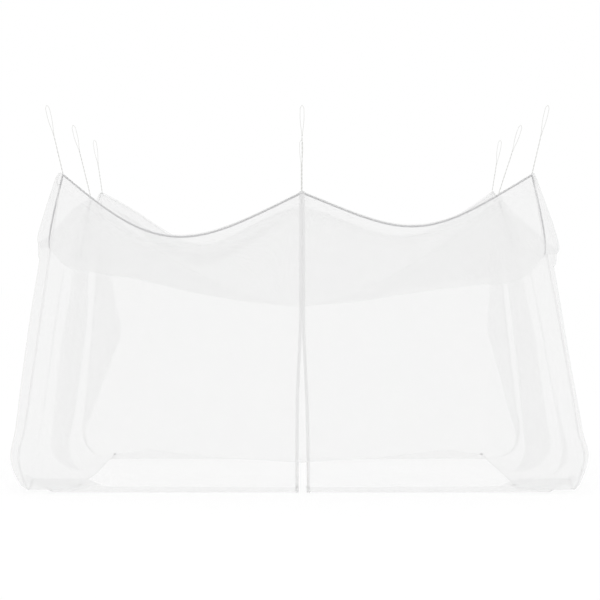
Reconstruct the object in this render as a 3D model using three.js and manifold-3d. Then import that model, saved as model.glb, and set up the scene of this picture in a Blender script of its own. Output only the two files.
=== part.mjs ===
// A rectangular mosquito net for a gazebo: a roof sheet that sags inside a scalloped top tape, five wall
// panels that reach the ground and turn inwards on it, an opening in the middle of the front with a
// binding along each edge, and eight cords with a tied loop that the net hangs from.
//
// Millimetres, +Z up. The opening faces -Y, and +X is to the right of someone who faces it. The origin is
// where the net hangs from: over its middle, at the height of the cords' loops. All heights below are
// above the ground, and the whole net is lowered to the origin at the end.

import * as THREE from "three";
import { mergeVertices } from "three/addons/utils/BufferGeometryUtils.js";
import Module from "manifold-3d";

// Height of the loops above the ground.
const HANG_HEIGHT = 2200;

// Thicknesses and widths of the pieces, and the gap between two pieces that are sewn together.
const CLOTH = 2;
const TAPE_WIDTH = 10;
const TAPE_THICKNESS = 1.5;
const BINDING_WIDTH = 18;
const BINDING_THICKNESS = 1.5;
const SEAM_GAP = 0.3;

// The net touches the ground with its bindings, and its cloth lies just above them.
const CLOTH_REST = BINDING_THICKNESS + SEAM_GAP + CLOTH / 2;

// Height at which a wall starts to bend inwards, and how far the bend carries it before it lies flat.
const FOOT_RISE = 165;
const BEND_SIDE = 180;
const BEND_FRONT = 115;

// Where the cords hold the net, in order round the top, anticlockwise from above.
// x, y, z: middle of the tape at the cord. footX, footY: the wall at FOOT_RISE above the ground.
// hemX, hemY, hemZ: the hem's edge, which lies inside on the ground or on the bunched cloth there.
// hookX, hookY, hookZ: top of the cord's loop. puff, stand: how far the gathered cloth stands out just
// below the tape, and how far the hanging wall does.
const STATIONS = [
  { name: "front_left", x: -1337, y: -1185, z: 1815, footX: -1582, footY: -1265,
    hemX: -1277, hemY: -890, hemZ: 12, hookX: -1420, hookY: -1265, hookZ: 2204, puff: 25, stand: 18 },
  { name: "front_middle", x: 26, y: -1185, z: 1712, footX: 26, footY: -1275,
    hemX: 26, hemY: -890, hemZ: 0, hookX: 26, hookY: -1275, hookZ: 2204, puff: 4, stand: 4 },
  { name: "front_right", x: 1337, y: -1185, z: 1813, footX: 1625, footY: -1265,
    hemX: 1271, hemY: -890, hemZ: 12, hookX: 1418, hookY: -1265, hookZ: 2204, puff: 12, stand: 12 },
  { name: "right_middle", x: 1259, y: 0, z: 1741, footX: 1540, footY: 0,
    hemX: 1285, hemY: 0, hemZ: 0, hookX: 1404, hookY: 0, hookZ: 2193, puff: 10, stand: 10 },
  { name: "back_right", x: 1335, y: 1185, z: 1821, footX: 1534, footY: 1265,
    hemX: 1240, hemY: 885, hemZ: 45, hookX: 1400, hookY: 1265, hookZ: 2191, puff: 20, stand: 10 },
  { name: "back_middle", x: 26, y: 1185, z: 1725, footX: 26, footY: 1275,
    hemX: 26, hemY: 817, hemZ: 0, hookX: 26, hookY: 1275, hookZ: 2191, puff: 12, stand: 10 },
  { name: "back_left", x: -1339, y: 1185, z: 1815, footX: -1480, footY: 1265,
    hemX: -1233, hemY: 895, hemZ: 45, hookX: -1402, hookY: 1265, hookZ: 2191, puff: 20, stand: 10 },
  { name: "left_middle", x: -1297, y: 0, z: 1728, footX: -1500, footY: 0,
    hemX: -1262, hemY: 0, hemZ: 0, hookX: -1410, hookY: 0, hookZ: 2193, puff: 10, stand: 10 },
];

// The scallop of tape from each station to the next: its sag below the straight line at a quarter, half
// and three quarters of the way, then how much further out the middle of the scallop stands than its
// ends, at the tape, at the foot, and in the puff and stand of the cloth. swag: how far the puff hangs
// down over itself there.
const SCALLOPS = [
  { quarter: 228, middle: 305, threeQuarter: 191,
    tapeOut: 90, footOut: 25, puffOut: 15, standOut: 15, swag: 0 },
  { quarter: 158, middle: 244, threeQuarter: 164,
    tapeOut: 90, footOut: 25, puffOut: 20, standOut: 10, swag: 0 },
  { quarter: 290, middle: 420, threeQuarter: 290,
    tapeOut: 173, footOut: 108, puffOut: 45, standOut: 20, swag: 0 },
  { quarter: 242, middle: 342, threeQuarter: 242,
    tapeOut: 119, footOut: 70, puffOut: 40, standOut: 20, swag: 0 },
  { quarter: 190, middle: 250, threeQuarter: 133,
    tapeOut: 90, footOut: 25, puffOut: 25, standOut: 10, swag: 0 },
  { quarter: 149, middle: 306, threeQuarter: 179,
    tapeOut: 90, footOut: 25, puffOut: 40, standOut: 10, swag: 90 },
  { quarter: 286, middle: 405, threeQuarter: 286,
    tapeOut: 105, footOut: 70, puffOut: 35, standOut: 20, swag: 0 },
  { quarter: 265, middle: 375, threeQuarter: 265,
    tapeOut: 161, footOut: 135, puffOut: 10, standOut: 18, swag: 0 },
];

// The wall panels and the tapes on them: the stretch of the ring of stations that each one covers.
const PANELS = [
  { name: "front_left", from: 0, to: 1 },
  { name: "front_right", from: 1, to: 2 },
  { name: "right", from: 2, to: 4 },
  { name: "back", from: 4, to: 6 },
  { name: "left", from: 6, to: 8 },
];

// How the wall leaves its tape: drop below the tape, and the shares of its puff, stand, folds and swag.
const SHOULDER = [
  { drop: 0, puff: 0, stand: 0, fold: 0, swag: 0 },
  { drop: -12, puff: 0.45, stand: 0.4, fold: 0, swag: 0 },
  { drop: 4, puff: 0.95, stand: 0.8, fold: 0, swag: 0.2 },
  { drop: 32, puff: 1, stand: 0.95, fold: 0.1, swag: 0.75 },
  { drop: 48, puff: 0.8, stand: 1, fold: 0.2, swag: 1 },
  { drop: 58, puff: 0.45, stand: 1, fold: 0.25, swag: 0 },
  { drop: 80, puff: 0.12, stand: 1, fold: 0.4, swag: 0.1 },
  { drop: 150, puff: 0, stand: 1, fold: 1, swag: 0.3 },
];

// The main upright folds of the walls. at: place on the ring at the tape, in scallops. lean: how far it
// moves along the ring down to the foot. half: half its width, in scallops. depth: outwards, and inwards
// where it is negative. top, middle, foot: the share of the depth at those heights.
const FOLDS = [
  { at: 2.74, lean: -0.12, half: 0.12, depth: -90, top: 0, middle: 0.3, foot: 1 },
  { at: 2.99, lean: 0.01, half: 0.12, depth: -115, top: 0.05, middle: 0.5, foot: 1 },
  { at: 3.2, lean: 0, half: 0.12, depth: 50, top: 0.1, middle: 1, foot: 0.8 },
  { at: 3.78, lean: 0, half: 0.24, depth: -225, top: 0.45, middle: 1, foot: 0.45 },
  { at: 6.22, lean: 0, half: 0.24, depth: -295, top: 0.35, middle: 1, foot: 0.27 },
  { at: 6.76, lean: 0.02, half: 0.12, depth: 50, top: 0.1, middle: 1, foot: 0.8 },
  { at: 7.01, lean: -0.01, half: 0.12, depth: -80, top: 0.2, middle: 1, foot: 0.8 },
  { at: 4.28, lean: 0.03, half: 0.2, depth: 40, top: 0, middle: 1, foot: 0.4 },
  { at: 5.7, lean: -0.04, half: 0.18, depth: 40, top: 0, middle: 1, foot: 0.4 },
];

// The front opening: the edges hang side by side down to where they part, and then spread apart.
// closed, open: x of the panel's edge while shut and at the ground. reach: how quickly it gets there.
const OPENING = 1;
const PART_HEIGHT = 860;
const EDGE_LEFT = { closed: 26, open: 6, reach: 170 };
const EDGE_RIGHT = { closed: 26, open: 54, reach: 300 };

// The roof's lowest point, and how it rises from there to the tape. reach: the way from the lowest point
// to the tape. The rest is the share of the rise there: below a cord, and in the middle of the scallops
// of each side.
const ROOF_LOW = { x: 10, y: 0, z: 1050 };
const ROOF_RISE = [
  { reach: 0, cord: 0, front: 0, right: 0, back: 0, left: 0 },
  { reach: 0.25, cord: 0.11, front: 0.09, right: 0.11, back: 0.09, left: 0.12 },
  { reach: 0.45, cord: 0.28, front: 0.22, right: 0.26, back: 0.22, left: 0.27 },
  { reach: 0.62, cord: 0.46, front: 0.38, right: 0.38, back: 0.4, left: 0.45 },
  { reach: 0.78, cord: 0.66, front: 0.57, right: 0.46, back: 0.57, left: 0.6 },
  { reach: 0.88, cord: 0.81, front: 0.7, right: 0.5, back: 0.7, left: 0.64 },
  { reach: 0.95, cord: 0.91, front: 0.82, right: 0.68, back: 0.82, left: 0.75 },
  { reach: 1, cord: 1, front: 1, right: 1, back: 1, left: 1 },
];

// The hanging cords: their diameter, the loop's length and width, and the size of the knot below it and
// its turn about the strand.
const CORD = 3;
const LOOP_LENGTH = 150;
const LOOP_WIDTH = 22;
const KNOT_WIDTH = 9;
const KNOT_LENGTH = 18;
const KNOT_TURN = 0.17;

// How finely the shapes are divided.
const SCALLOP_STEPS = 12;
const WALL_ROWS = 7;
const BEND_ROWS = 3;
const FLAP_ROWS = 2;
const CORD_SIDES = 8;
const LOOP_STEPS = 14;
const NEAR = 1e-3;

const MATERIALS = {
  net: { color: 0xf6f6f6, roughness: 0.9, metalness: 0, side: THREE.DoubleSide },
  tape: { color: 0x9b9c9e, roughness: 0.85, metalness: 0 },
  binding: { color: 0xe9e9e9, roughness: 0.85, metalness: 0 },
  cord: { color: 0xe6e6e4, roughness: 0.8, metalness: 0 },
};

const UP = new THREE.Vector3(0, 0, 1);
const { lerp, clamp } = THREE.MathUtils;
const { sin, cos, exp, floor, abs, max, PI } = Math;

const wasm = await Module();
wasm.setup();

// The ring of stations

// The scallop that holds a place on the ring, its two stations, and the share of the way between them.
function scallopAt(place) {
  const count = STATIONS.length;
  const turned = ((place % count) + count) % count;
  const index = floor(turned) % count;
  return {
    scallop: SCALLOPS[index],
    before: STATIONS[index],
    after: STATIONS[(index + 1) % count],
    share: turned - floor(turned),
  };
}

// Steps along a scallop, closer together near the cords, where the folds gather.
function spread(share) {
  return share - 0.09 * sin(2 * PI * share);
}

// A smooth curve through three sags at the quarters, and through nothing at both ends.
function sagAt({ quarter, middle, threeQuarter }, share) {
  const ends = (quarter + threeQuarter) / Math.SQRT2;
  const main = (ends + middle) / 2;
  const tilt = (quarter - threeQuarter) / 2;
  const flat = (ends - middle) / 2;
  return main * sin(PI * share) + tilt * sin(2 * PI * share) + flat * sin(3 * PI * share);
}

// A point between two stations, from two of their columns, pushed outwards in the middle.
function between(place, columnX, columnY, out) {
  const { before, after, share } = scallopAt(place);
  const push = out * sin(PI * share);
  const side = sideDirection(before, after);
  return new THREE.Vector3(
    lerp(before[columnX], after[columnX], share) + push * side.x,
    lerp(before[columnY], after[columnY], share) + push * side.y,
    0,
  );
}

// Outwards from a side of the net: along X for the left and right, along Y for the front and back.
function sideDirection(before, after) {
  const across = abs(after.x - before.x) > abs(after.y - before.y);
  return across
    ? new THREE.Vector3(0, Math.sign(before.y + after.y), 0)
    : new THREE.Vector3(Math.sign(before.x + after.x), 0, 0);
}

// A value that stations hold, scallops add to in their middle, or both.
function alongRing(place, column, extra) {
  const { before, after, scallop, share } = scallopAt(place);
  const held = column ? lerp(before[column], after[column], share) : 0;
  return held + (extra ? scallop[extra] * sin(PI * share) : 0);
}

// The value in a column of a table at a place along its first column, on straight lines between rows.
function tableAt(table, along, place, column) {
  const next = max(1, table.findIndex((row) => row[along] >= place));
  const [before, after] = [table[next - 1], table[next]];
  const share = (place - before[along]) / (after[along] - before[along]);
  return lerp(before[column], after[column], share);
}

function tapePoint(place) {
  const { before, after, scallop, share } = scallopAt(place);
  const point = between(place, "x", "y", scallop.tapeOut);
  point.z = lerp(before.z, after.z, share) - sagAt(scallop, share);
  return point;
}

// Outwards from the tape in plan, long enough at a corner to keep an offset piece parallel to both sides.
function outward(place) {
  const here = tapePoint(place);
  const normals = [-NEAR, NEAR].map((step) => {
    const along = tapePoint(place + step).sub(here).multiplyScalar(Math.sign(step));
    return new THREE.Vector3(along.y, -along.x, 0).normalize();
  });
  return normals[0].clone().add(normals[1]).divideScalar(1 + normals[0].dot(normals[1]));
}

// The walls

function foldDepth(place, share) {
  let depth = 0;
  for (const fold of FOLDS) {
    const away = abs(place - fold.at - fold.lean * share) / fold.half;
    if (away >= 1) continue;
    const strength =
      share < 0.5
        ? lerp(fold.top, fold.middle, 2 * share)
        : lerp(fold.middle, fold.foot, 2 * share - 1);
    depth += fold.depth * strength * cos((PI / 2) * away) ** 2;
  }
  return depth;
}

// How far an edge of the opening has moved along X from its shut place, at a height.
function edgeX({ closed, open, reach }, z) {
  return lerp(closed, open, 1 - exp(-max(0, PART_HEIGHT - z) / reach));
}

// Near the opening a panel's cloth follows its edge: the shift fades out over a third of the panel.
function openingShift(place, panel, z) {
  const middle = STATIONS[OPENING].x;
  if (panel.name === "front_left") {
    return (edgeX(EDGE_LEFT, z) - middle) * clamp((place - 2 / 3) * 3, 0, 1) ** 2;
  }
  if (panel.name === "front_right") {
    return (edgeX(EDGE_RIGHT, z) - middle) * clamp((4 / 3 - place) * 3, 0, 1) ** 2;
  }
  return 0;
}

// One upright line of a wall, from the tape to the hem's edge, as the middle of the cloth.
function wallLine(place, panel) {
  const { scallop } = scallopAt(place);
  const out = outward(place);
  const tape = tapePoint(place);
  const foot = between(place, "footX", "footY", scallop.footOut);
  const puff = alongRing(place, "puff", "puffOut");
  const stand = alongRing(place, "stand", "standOut");
  const fall = tape.z - FOOT_RISE;
  const line = [tape.clone().addScaledVector(out, TAPE_THICKNESS / 2 + SEAM_GAP)];

  const swag = alongRing(place, null, "swag");
  const hang = (row) => {
    const drop = row.drop + row.swag * swag;
    const share = clamp(drop / fall, 0, 1);
    const away = puff * row.puff + stand * row.stand * (1 - share) + foldDepth(place, share) * row.fold;
    const point = tape.clone().lerp(foot, share).addScaledVector(out, away);
    point.z = tape.z - drop;
    return point;
  };
  for (const row of SHOULDER.slice(1)) line.push(hang(row));
  const last = SHOULDER.at(-1);
  for (let row = 1; row <= WALL_ROWS; row++) {
    const way = row / WALL_ROWS;
    line.push(hang({ ...last, drop: lerp(last.drop, fall, way), swag: last.swag * (1 - way) }));
  }

  const bulge = line.at(-1);
  const contact = contactPoint(place, foot).addScaledVector(out, foldDepth(place, 1) / 2);
  for (let row = 1; row <= BEND_ROWS; row++) {
    const angle = ((PI / 2) * row) / BEND_ROWS;
    const point = contact.clone().lerp(bulge, cos(angle));
    point.z = lerp(FOOT_RISE, CLOTH_REST, sin(angle));
    line.push(point);
  }
  const hem = between(place, "hemX", "hemY", 0);
  hem.z = CLOTH_REST + alongRing(place, "hemZ");
  const rest = contact.clone().setZ(CLOTH_REST);
  for (let row = 1; row <= FLAP_ROWS; row++) {
    const share = row / FLAP_ROWS;
    const point = rest.clone().lerp(hem, share);
    point.z = lerp(CLOTH_REST, hem.z, share ** 2);
    line.push(point);
  }
  for (const point of line) point.x += openingShift(place, panel, point.z);
  return line;
}

// Where the bend reaches the ground, inside the foot: the stations' insets, shared out between them.
function contactPoint(place, foot) {
  const { before, after, share } = scallopAt(place);
  const inset = (station) => {
    const corner = station.name.includes("middle") ? 0 : 1;
    const side = station.name.startsWith("left") || station.name.startsWith("right");
    return new THREE.Vector3(
      -Math.sign(station.x) * BEND_SIDE * (side ? 1 : corner),
      -Math.sign(station.y) * BEND_FRONT * (side ? corner : 1),
      0,
    );
  };
  return foot.clone().add(inset(before).lerp(inset(after), share));
}

// Solids

// The places of a panel's upright lines, from its first seam to its last. The front panels have one
// more, where the binding of the opening ends.
function panelPlaces({ from, to }) {
  const places = [];
  for (let step = 0; step <= (to - from) * SCALLOP_STEPS; step++) {
    const scallop = floor(step / SCALLOP_STEPS);
    places.push(from + scallop + spread(step / SCALLOP_STEPS - scallop));
  }
  const bindingShare = BINDING_WIDTH / (STATIONS[2].x - STATIONS[1].x);
  if (to === OPENING) places.splice(-1, 0, to - bindingShare);
  if (from === OPENING) places.splice(1, 0, from + bindingShare);
  return places;
}

// A closed body from a grid of rings of points: each ring goes once round the piece's section. The far
// half of a ring is split along the other diagonals, so that both faces of a sheet have the same creases.
function loft(rings) {
  const around = rings[0].length;
  const positions = rings.flat().flatMap((point) => [point.x, point.y, point.z]);
  const index = [];
  const quad = (a, b, c, d) => index.push(a, b, c, a, c, d);
  const last = (rings.length - 1) * around;
  for (let k = 0; k < around / 2 - 1; k++) {
    const far = around - 1 - k;
    quad(last + k, last + k + 1, last + far - 1, last + far);
    quad(k, far, far - 1, k + 1);
  }
  for (let ring = rings.length - 2; ring >= 0; ring--) {
    for (let k = 0; k < around; k++) {
      const next = (k + 1) % around;
      const [here, below] = [ring * around, (ring + 1) * around];
      const corners = [here + k, here + next, below + next, below + k];
      if (k >= around / 2) corners.push(corners.shift());
      quad(...corners);
    }
  }
  return closedGeometry(positions, index);
}

function closedGeometry(positions, index) {
  const geometry = new THREE.BufferGeometry();
  geometry.setAttribute("position", new THREE.Float32BufferAttribute(positions, 3));
  geometry.setIndex(index);
  return geometry;
}

// A sheet from the lines of its middle surface and a half thickness at each point.
// Each line becomes a ring: down one face and back up the other.
function sheet(lines, halves) {
  return loft(
    lines.map((line, i) => [
      ...line.map((point, j) => point.clone().add(halves[i][j])),
      ...line.map((point, j) => point.clone().sub(halves[i][j])).reverse(),
    ]),
  );
}

// Unit normals of a grid of points. At each point they are square to the mean direction of the two edges
// that meet there, both along and across, so they also hold where the cloth folds back sharply.
function gridNormals(lines) {
  const at = (i, j) =>
    lines[clamp(i, 0, lines.length - 1)][clamp(j, 0, lines[0].length - 1)];
  const direction = (before, here, after) =>
    after.clone().sub(here).normalize().add(here.clone().sub(before).normalize());
  return lines.map((line, i) =>
    line.map((point, j) => {
      const along = direction(at(i, j - 1), point, at(i, j + 1));
      return along.cross(direction(at(i - 1, j), point, at(i + 1, j))).normalize();
    }),
  );
}

// A wall panel's upright lines. The two outer ones are drawn back from the seam by the gap, squarely.
function panelLines(panel) {
  const lines = panelPlaces(panel).map((place) => wallLine(place, panel));
  const drawBack = (edge, neighbour) => {
    const moves = edge.map((point, j) => {
      const along = edge[Math.min(j + 1, edge.length - 1)].clone().sub(edge[max(j - 1, 0)]).normalize();
      const across = neighbour[j].clone().sub(point);
      return across.addScaledVector(along, -across.dot(along)).setLength(SEAM_GAP);
    });
    edge.forEach((point, j) => point.add(moves[j]));
  };
  drawBack(lines[0], lines[1]);
  drawBack(lines.at(-1), lines.at(-2));
  return lines;
}

// The seam's own plane at a corner: the normal there is the mean of the two panels' normals.
function seamNormals(panel, place) {
  const nextPanel = (other) => PANELS.find(({ from, to }) => other > from && other < to);
  const count = STATIONS.length;
  const sides = [-NEAR, NEAR].map((step) => {
    const other = (((place + step) % count) + count) % count;
    const owner = nextPanel(other) ?? panel;
    return gridNormals([
      wallLine(other - NEAR / 2, owner),
      wallLine(other, owner),
      wallLine(other + NEAR / 2, owner),
    ])[1];
  });
  return sides[0].map((normal, j) => normal.clone().add(sides[1][j]).normalize());
}

function wallHalves(panel, lines) {
  const normals = gridNormals(lines);
  const last = normals.length - 1;
  if (panel.from !== OPENING) normals[0] = seamNormals(panel, panel.from);
  else normals[0].forEach((normal) => normal.setX(0).normalize());
  if (panel.to !== OPENING) normals[last] = seamNormals(panel, panel.to);
  else normals[last].forEach((normal) => normal.setX(0).normalize());
  return normals.map((line) => {
    const halves = line.map((normal) => normal.clone().multiplyScalar(CLOTH / 2));
    halves[0] = new THREE.Vector3(0, 0, CLOTH / 2);
    return halves;
  });
}

function wallGeometry(panel) {
  const lines = panelLines(panel);
  return sheet(lines, wallHalves(panel, lines));
}

function tapeGeometry(panel) {
  const places = panelPlaces(panel);
  const middles = places.map(tapePoint);
  drawBackEnds(middles);
  return loft(
    middles.map((middle, i) => {
      const out = outward(places[i]).multiplyScalar(TAPE_THICKNESS / 2);
      const rise = UP.clone().multiplyScalar(TAPE_WIDTH / 2);
      return [
        middle.clone().add(out).sub(rise),
        middle.clone().sub(out).sub(rise),
        middle.clone().sub(out).add(rise),
        middle.clone().add(out).add(rise),
      ];
    }),
  );
}

function drawBackEnds(points) {
  const first = points[1].clone().sub(points[0]).setLength(SEAM_GAP);
  const last = points.at(-2).clone().sub(points.at(-1)).setLength(SEAM_GAP);
  points[0].add(first);
  points.at(-1).add(last);
}

// A binding lies on the outer face of a front panel, along its edge at the opening. It starts below the
// row where the cloth folds over above the tape.
function bindingGeometry(panel) {
  const lines = panelLines(panel);
  const halves = wallHalves(panel, lines);
  const strip = panel.to === OPENING ? [-2, -1] : [0, 1];
  const layer = (column, row, depth) =>
    lines.at(column)[row].clone().add(halves.at(column)[row].clone().setLength(CLOTH / 2 + depth));
  const rings = [];
  for (let row = 2; row < lines[0].length; row++) {
    rings.push([
      layer(strip[0], row, SEAM_GAP),
      layer(strip[1], row, SEAM_GAP),
      layer(strip[1], row, SEAM_GAP + BINDING_THICKNESS),
      layer(strip[0], row, SEAM_GAP + BINDING_THICKNESS),
    ]);
  }
  return loft(rings);
}

// The roof: rings shaped like the tape that shrink towards the lowest point, which they drop to.
function roofPoint(column, row, half) {
  const a = column / half - 1;
  const b = row / half - 1;
  const reach = max(abs(a), abs(b));
  if (reach === 0) return new THREE.Vector3(ROOF_LOW.x, ROOF_LOW.y, ROOF_LOW.z);
  const place = ringPlace(a / reach, b / reach);
  const edge = tapePoint(place).addScaledVector(outward(place), -(TAPE_THICKNESS / 2 + SEAM_GAP));
  const { share } = scallopAt(place);
  const side = ["front", "right", "back", "left"][floor(place / 2) % 4];
  const rise = lerp(
    tableAt(ROOF_RISE, "reach", reach, "cord"),
    tableAt(ROOF_RISE, "reach", reach, side),
    sin(PI * share) ** 2,
  );
  return new THREE.Vector3(
    lerp(ROOF_LOW.x, edge.x, reach),
    lerp(ROOF_LOW.y, edge.y, reach),
    lerp(ROOF_LOW.z, edge.z, rise),
  );
}

// The place on the ring of a point on the edge of the square from -1 to 1 in both directions.
function ringPlace(a, b) {
  const step = (first, along) => {
    const index = along < 0 || (along === 0 && first % 2 === 0) ? 0 : 1;
    return first + index + spread(along + 1 - index);
  };
  if (b <= -1) return step(0, a);
  if (a >= 1) return step(2, b);
  if (b >= 1) return step(4, -a);
  return step(6, -b);
}

function roofGeometry() {
  const half = SCALLOP_STEPS;
  const last = 2 * half;
  const lines = [];
  for (let row = 0; row <= last; row++) {
    lines.push([]);
    for (let column = 0; column <= last; column++) lines[row].push(roofPoint(column, row, half));
  }
  const normals = gridNormals(lines);
  const isEdge = (i, j) => i === 0 || j === 0 || i === last || j === last;
  const halves = normals.map((line, i) =>
    line.map((normal, j) => (isEdge(i, j) ? UP.clone() : normal).multiplyScalar(CLOTH / 2)),
  );
  return sheet(lines, halves);
}

// Cords

function solidOf(geometry) {
  const bare = geometry.index ? geometry.toNonIndexed() : geometry.clone();
  bare.deleteAttribute("normal");
  bare.deleteAttribute("uv");
  const merged = mergeVertices(bare, NEAR);
  return new wasm.Manifold(
    new wasm.Mesh({
      numProp: 3,
      vertProperties: merged.attributes.position.array,
      triVerts: new Uint32Array(merged.index.array),
    }),
  );
}

function geometryOf(solid) {
  const { vertProperties, triVerts } = solid.getMesh();
  return closedGeometry(Array.from(vertProperties), Array.from(triVerts));
}

function tube(points, steps) {
  const section = new THREE.Shape();
  section.absarc(0, 0, CORD / 2, 0, 2 * PI);
  return new THREE.ExtrudeGeometry(section, {
    steps,
    curveSegments: CORD_SIDES / 2,
    bevelEnabled: false,
    extrudePath: new THREE.CatmullRomCurve3(points),
  });
}

// One cord: a straight strand from the top of the tape, a knot, and a long narrow loop above it.
function cordGeometry(station) {
  const top = new THREE.Vector3(station.hookX, station.hookY, station.hookZ - CORD / 2);
  const start = new THREE.Vector3(station.x, station.y, station.z + TAPE_WIDTH / 2 + SEAM_GAP);
  const along = top.clone().sub(start).normalize();
  start.z += (CORD / 2) * Math.hypot(along.x, along.y);
  const across = new THREE.Vector3(1, 0, 0).addScaledVector(along, -along.x).normalize();
  const knot = top.clone().addScaledVector(along, -LOOP_LENGTH);
  const onLoop = (rise, side) =>
    knot.clone().addScaledVector(along, rise * LOOP_LENGTH).addScaledVector(across, (side * LOOP_WIDTH) / 2);

  // The strand and the loop end inside the knot, a little apart.
  const strand = tube([start, start.clone().lerp(onLoop(-0.02, 0), 0.5), onLoop(-0.02, 0)], 2);
  const loop = tube(
    [onLoop(0.01, -0.12), onLoop(0.35, -0.75), onLoop(0.75, -1), onLoop(0.94, -0.7), onLoop(1, 0),
      onLoop(0.94, 0.7), onLoop(0.75, 1), onLoop(0.35, 0.75), onLoop(0.016, 0.17)],
    LOOP_STEPS,
  );
  const lump = new THREE.SphereGeometry(KNOT_WIDTH / 2, CORD_SIDES, CORD_SIDES / 2);
  lump.rotateX(PI / 2).rotateZ(KNOT_TURN).scale(1, 1, KNOT_LENGTH / KNOT_WIDTH);
  lump.applyQuaternion(new THREE.Quaternion().setFromUnitVectors(UP, along));
  lump.translate(knot.x, knot.y, knot.z);
  return geometryOf(solidOf(strand).add(solidOf(loop)).add(solidOf(lump)));
}

// The net

const pieces = new THREE.Group();
pieces.position.z = -HANG_HEIGHT;

function addPiece(name, geometry, material) {
  const mesh = new THREE.Mesh(geometry, new THREE.MeshStandardMaterial(MATERIALS[material]));
  mesh.name = name;
  pieces.add(mesh);
}

addPiece("roof", roofGeometry(), "net");
for (const panel of PANELS) {
  addPiece(`wall_${panel.name}`, wallGeometry(panel), "net");
  addPiece(`tape_${panel.name}`, tapeGeometry(panel), "tape");
}
for (const panel of PANELS.slice(0, 2)) {
  addPiece(`binding_${panel.name}`, bindingGeometry(panel), "binding");
}
for (const station of STATIONS) {
  addPiece(`cord_${station.name}`, cordGeometry(station), "cord");
}

const net = new THREE.Group();
net.add(pieces);

export default net;
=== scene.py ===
"""A hung mosquito net for a gazebo: a sagging roof sheet, five wall panels, a scalloped top tape, the bound
edges of the opening, the seams down the corners, and eight cords with tied loops.

Metres, +Z up, the opening towards -Y. The origin is where the net hangs from, over its middle.
"""

import math

import bpy
import numpy as np
from bpy.props import FloatProperty, FloatVectorProperty, PointerProperty
from bpy.types import Operator, Panel, PropertyGroup
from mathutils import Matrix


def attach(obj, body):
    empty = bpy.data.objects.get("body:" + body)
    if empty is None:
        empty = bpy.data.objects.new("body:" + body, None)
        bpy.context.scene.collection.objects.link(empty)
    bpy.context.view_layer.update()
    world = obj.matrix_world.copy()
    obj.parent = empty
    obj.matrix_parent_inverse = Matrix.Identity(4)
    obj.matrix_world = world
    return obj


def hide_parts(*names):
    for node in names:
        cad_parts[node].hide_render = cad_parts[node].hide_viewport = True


bl_info = {
    "name": "Gazebo mosquito net",
    "version": (1, 0, 0),
    "blender": (4, 5, 0),
    "location": "3D View > Sidebar > Net",
    "description": "Makes a hung mosquito net for a gazebo, with its stage",
    "category": "Add Mesh",
}

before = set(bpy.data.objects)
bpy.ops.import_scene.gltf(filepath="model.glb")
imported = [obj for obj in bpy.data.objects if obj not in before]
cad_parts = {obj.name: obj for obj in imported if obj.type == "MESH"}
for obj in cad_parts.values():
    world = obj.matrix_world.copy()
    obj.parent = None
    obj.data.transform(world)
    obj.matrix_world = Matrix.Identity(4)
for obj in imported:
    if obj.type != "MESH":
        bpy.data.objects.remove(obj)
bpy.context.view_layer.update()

MM = 0.001
TAU = 2 * math.pi
GROUND = -2.2  # the ground, below the loops that the net hangs from

# Where the cords hold the net, in mm, in order round the top, anticlockwise from above. Heights are above
# the ground. foot: the wall where it starts to bend inwards. hook: top of the cord's loop. puff, stand: how
# far the cloth stands out just below the tape, and further down.
STATION_COLUMNS = "x y z foot_x foot_y hook_x hook_y hook_z puff stand".split()
STATION_ROWS = {
    "front_left": (-1337, -1185, 1815, -1582, -1265, -1420, -1265, 2204, 25, 18),
    "front_middle": (26, -1185, 1712, 26, -1275, 26, -1275, 2204, 4, 4),
    "front_right": (1337, -1185, 1813, 1625, -1265, 1418, -1265, 2204, 12, 12),
    "right_middle": (1259, 0, 1741, 1540, 0, 1404, 0, 2193, 10, 10),
    "back_right": (1335, 1185, 1821, 1534, 1265, 1400, 1265, 2191, 20, 10),
    "back_middle": (26, 1185, 1725, 26, 1275, 26, 1275, 2191, 12, 10),
    "back_left": (-1339, 1185, 1815, -1480, 1265, -1402, 1265, 2191, 20, 10),
    "left_middle": (-1297, 0, 1728, -1500, 0, -1410, 0, 2193, 10, 10),
}
STATION = dict(zip(STATION_COLUMNS, MM * np.array(list(STATION_ROWS.values())).T))
COUNT = len(STATION_ROWS)
OPENING = 1  # the station where the two front panels meet
FRONT_RIGHT = 2  # the station at the other end of the front's right panel

# The scallop of tape from each station to the next, in mm: its sag at a quarter, half and three quarters of
# the way, how much further out its middle stands at the tape and at the foot, in the puff and in the stand,
# and how far the puff hangs down over itself, or below zero rises above the tape. SWAG_SKEW moves the
# most of that along the scallop: below 1 towards its start, above 1 towards its end.
SCALLOP_COLUMNS = "quarter middle three_quarter tape_out foot_out puff_out stand_out swag".split()
SCALLOP_ROWS = [
    (228, 305, 191, 90, 25, 15, 15, 0),
    (158, 244, 164, 90, 25, 20, 10, 0),
    (290, 420, 290, 173, 122, 45, 20, -110),
    (242, 342, 242, 119, 70, 40, 20, 0),
    (190, 250, 133, 90, 25, 25, 10, 0),
    (149, 306, 179, 90, 25, 40, 10, 90),
    (286, 405, 286, 105, 70, 35, 20, 0),
    (265, 375, 265, 161, 150, 10, 30, -120),
]
SCALLOP = dict(zip(SCALLOP_COLUMNS, MM * np.array(SCALLOP_ROWS).T))
SWAG_SKEW = np.array((1, 1, 1.6, 1, 1, 1, 1, 0.5))

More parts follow.
